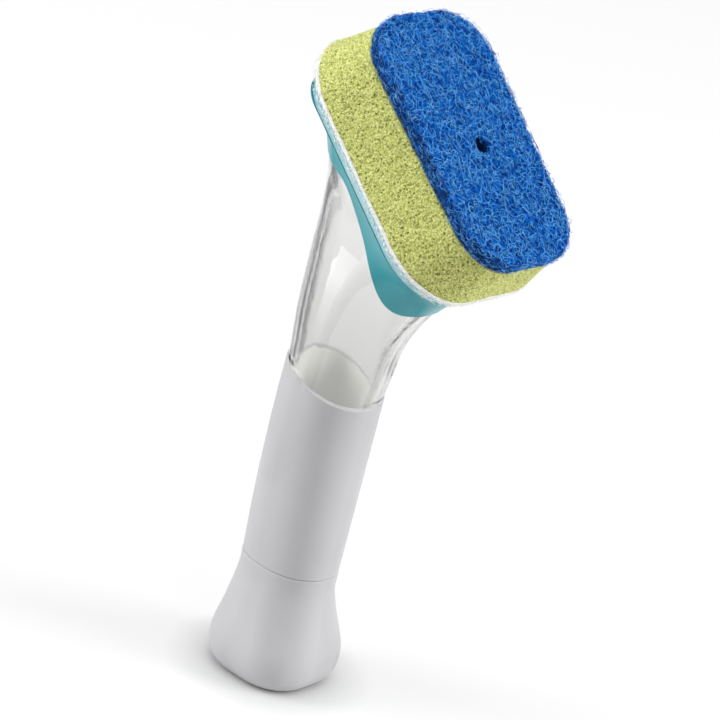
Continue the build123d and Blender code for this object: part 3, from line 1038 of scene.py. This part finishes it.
# Soft boxes: turn from the camera's side in degrees, rise, distance, size, and light on the wand as a
# share of 1, which costs a lamp more the further it is away
lamps = {
    "leftBox": {"turn": -82, "rise": 26, "away": 3.0, "size": (1.3, 2.2), "light": 0.69},
    "rightBox": {"turn": 90, "rise": 26, "away": 3.0, "size": (1.2, 2.2), "light": 0.73},
    "topBox": {"turn": 20, "rise": 72, "away": 3.0, "size": (2.0, 2.0), "light": 0.48},
}
wandMiddle = 0.12  # height that lamps aim at


# A place round the wand, by the turn from the camera's side and the rise
def roundTheWand(turn, rise, away, height=wandMiddle):
    start = math.atan2(view["back"][1], view["back"][0])
    angle, lift = start + math.radians(turn), math.radians(rise)
    flat = away * math.cos(lift)
    return Vector((flat * math.cos(angle), flat * math.sin(angle), height + away * math.sin(lift)))


def makeLamps():
    for name, lamp in lamps.items():
        data = bpy.data.lights.new(name, "AREA")
        data.shape = "RECTANGLE"
        data.size, data.size_y = lamp["size"]
        data.energy = lamp["light"] * (math.pi * lamp["away"]) ** 2
        light = bpy.data.objects.new(name, data)
        light.location = roundTheWand(lamp["turn"], lamp["rise"], lamp["away"])
        aim = Vector((0, 0, wandMiddle)) - light.location
        light.rotation_euler = aim.to_track_quat("-Z", "Y").to_euler()
        bpy.context.scene.collection.objects.link(light)


# Cards round the wand, out of the picture. The clear body bends the grey side ones into lines, and mirrors
# the glowing strips on the floor as soft streaks. The front card keeps the room's light off the middle
cards = {
    "leftCard": {"turns": (-104, -122), "away": (0.24, 0.24), "heights": (0, 0.42), "paint": "#54565a"},
    "leftRearCard": {"turns": (-131, -150), "away": (0.24, 0.24), "heights": (0, 0.42), "paint": "#787a7e"},
    "rightCard": {"turns": (104, 122), "away": (0.24, 0.24), "heights": (0, 0.42), "paint": "#4c4e52"},
    "rightRearCard": {"turns": (131, 152), "away": (0.24, 0.24), "heights": (0, 0.42), "paint": "#65676b"},
    "frontCard": {"turns": (-42, 42), "away": (1.5, 1.5), "heights": (0, 2.1), "paint": "#3c3e40"},
    "leftStrip": {"turns": (-44, -74), "away": (0.001, 0.7), "heights": (0.07, 0.001), "glow": 7.0},
    "rightStrip": {"turns": (92, 118), "away": (0.001, 0.7), "heights": (0.001, 0.001), "glow": 4.5},
}


def makeCards():
    for name, card in cards.items():
        material, tree = bareMaterial("studio" + name[0].upper() + name[1:])
        if "glow" in card:
            # The glow fades to both sides of the strip
            across = addNode(tree, "ShaderNodeTexCoord", {}).outputs["UV"]
            fade = addNode(tree, "ShaderNodeTexGradient", {"gradient_type": "EASING"}, {"Vector": across})
            bell = addNode(
                tree, "ShaderNodeMath", {"operation": "PINGPONG", 1: 0.5}, {0: fade.outputs["Fac"]}
            )
            strength = addNode(
                tree, "ShaderNodeMath", {"operation": "MULTIPLY", 1: 2 * card["glow"]}, {0: bell.outputs[0]}
            )
            paint = addNode(
                tree, "ShaderNodeEmission", {"Color": white}, {"Strength": strength.outputs[0]}
            )
        else:
            paint = addNode(tree, "ShaderNodeBsdfDiffuse", {"Color": toLinear(card["paint"])})
        addNode(tree, "ShaderNodeOutputMaterial", {}, {"Surface": paint.outputs[0]})
        corners = []
        for turn, edge in ((0, 0), (1, 0), (1, 1), (0, 1)):
            corners.append(roundTheWand(card["turns"][turn], 0, card["away"][edge], card["heights"][edge]))
        mesh = bpy.data.meshes.new(name)
        mesh.from_pydata([tuple(corner) for corner in corners], [], [(0, 1, 2, 3)])
        spread = mesh.uv_layers.new(name="acrossTheCard")
        for loop, share in zip(spread.data, ((0, 0), (1, 0), (1, 1), (0, 1))):
            loop.uv = share
        mesh.materials.append(material)
        piece = bpy.data.objects.new(name, mesh)
        piece.visible_camera = piece.visible_shadow = False
        piece.visible_diffuse = name == "frontCard"
        piece.visible_transmission = "glow" not in card
        bpy.context.scene.collection.objects.link(piece)


# The photograph's viewpoint, with a long lens and a little roll
view = {
    "place": (0.5086, -0.7092, 0.4654),
    "right": (0.738, 0.6349, 0.2288),
    "up": (-0.4116, 0.1547, 0.8981),
    "back": (0.5348, -0.757, 0.3755),
    "lens": 150,
    "sensor": 36,
    "nearest": 0.01,
}


def makeCamera():
    data = bpy.data.cameras.new("productCamera")
    data.lens = view["lens"]
    data.sensor_width = view["sensor"]
    data.clip_start = view["nearest"]
    camera = bpy.data.objects.new("productCamera", data)
    turn = Matrix([view["right"], view["up"], view["back"]]).transposed().to_4x4()
    camera.matrix_world = Matrix.Translation(view["place"]) @ turn
    bpy.context.scene.collection.objects.link(camera)
    bpy.context.scene.camera = camera


makeCamera()
makeWorld()
makeLamps()
makeStage()
makeCards()
bpy.context.scene.view_settings.view_transform = "Standard"
print("camera, lamps and floor placed")

elastomer = elastomerMaterial("mouldedSoftTouchElastomer", softTouch["outside"], 0)
# The sleeve's inside: painted light, a paler tone with a glow
paintedLightInside = elastomerMaterial("elastomerInsideWithPaintedLight", softTouch["paintedLightInside"], softTouch["paintedInsideGlow"])
clearOutside = clearMaterial("polishedClearSan", clearBody["outside"], clearBody["ior"])
clearInside = clearMaterial("drawnClearSan", clearBody["inside"], clearBody["ior"])
clearBonded = clearMaterial("bondedClearSan", clearBody["outside"], clearBody["bondedIor"])
teal = polypropyleneMaterial("satinTealPolypropylene", **tealCowl)
platePlastic = polypropyleneMaterial("satinPlatePolypropylene", **palePlate)
corePlastic = polypropyleneMaterial("mouldedGreyNylon", **greyCore)
sealRubber = fibreMaterial("mouldedSealRubber", **ringRubber)
nodeMaterials = {
    "end_cap": elastomer,
    "head_housing": teal,
    "refill_plate": platePlastic,
    "cap_core": corePlastic,
    "valve_retainer": corePlastic,
    "cap_seal": sealRubber,
    "outlet_seal": sealRubber,
    "outlet_valve": siliconeMaterial(),
}
for name, material in nodeMaterials.items():
    for entry in cadNodes[name].material_slots:
        entry.material = material
print("CAD nodes dressed")

makeSleeve(elastomer, paintedLightInside)
makeClearBody(clearOutside, clearInside, clearBonded)
makeFoam(foamMaterial())
makePad()
makeBacking(fibreMaterial("polyesterFleece", **whiteFibre))
